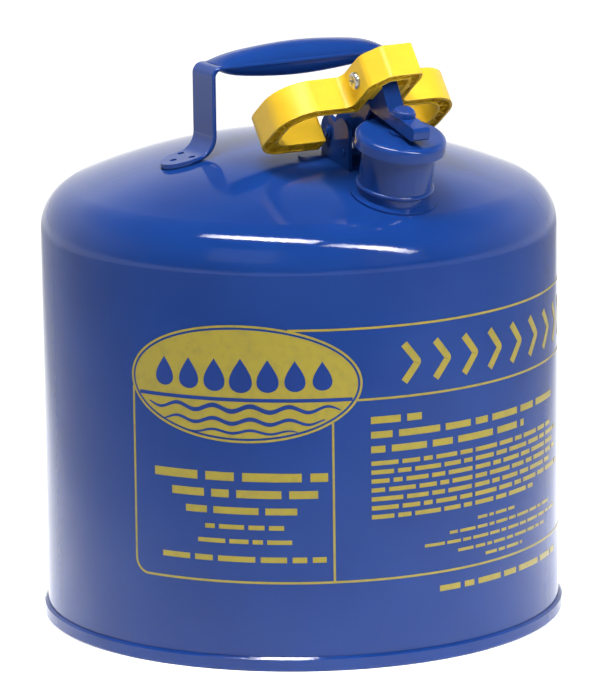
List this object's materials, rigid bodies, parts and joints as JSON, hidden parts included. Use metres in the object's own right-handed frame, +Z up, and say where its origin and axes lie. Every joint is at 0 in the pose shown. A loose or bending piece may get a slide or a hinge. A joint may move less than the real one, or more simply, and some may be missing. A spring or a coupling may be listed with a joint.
{
  "type": "safety gas can",
  "caption": "Round steel safety can for flammable liquids, with a fixed strap handle, a slanted spout and a sprung cap opened by a finger trigger.",
  "frame": {"origin": "centre of the base, on the surface that the can stands on", "axes": "+Z up; the spout leans out at 60 degrees from +X towards -Y, and the handle runs square to it"},
  "size_m": [0.3174, 0.3174, 0.3639],
  "materials": {
    "enamel": "gloss cobalt blue enamel with orange peel",
    "trigger_plastic": "moulded yellow plastic",
    "zinc_steel": "zinc plated",
    "spring_steel": "drawn wire",
    "mesh_steel": "perforated stainless steel",
    "gasket_rubber": "matt black rubber"
  },
  "bodies": {
    "can": {"body_shell": "enamel", "bottom_pan": "enamel", "spout_neck": "enamel", "neck_ring": "enamel", "flame_arrester": "mesh_steel", "arrester_ring": "mesh_steel", "handle": "enamel", "handle_welds": "enamel", "lever_bracket": "enamel", "pivot_pin": "enamel", "pivot_clip": "spring_steel", "spring_pin": "enamel", "closing_spring": "spring_steel"},
    "lever": {"lever": "enamel", "trigger": "trigger_plastic", "trigger_screw": "zinc_steel", "trigger_nut": "zinc_steel"},
    "cap": {"cap": "enamel", "cap_gasket": "gasket_rubber", "gasket_plate": "zinc_steel", "cap_stem": "enamel", "stem_washer": "enamel"}
  },
  "joints": [
    {"name": "lever_pivot", "type": "hinge", "parent": "can", "child": "lever", "pos_m": [0.029, -0.05023, 0.305], "axis": [-0.866, -0.5, 0], "range_deg": [0, 38], "stiffness_Nm_per_rad": 1.2, "springref_deg": -34.38, "deforming": ["closing_spring"]},
    {"name": "cap_swivel", "type": "hinge", "parent": "lever", "child": "cap", "pos_m": [0.06106, -0.10575, 0.31295], "axis": [0.121, -0.2095, 0.9703], "continuous": true}
  ]
}
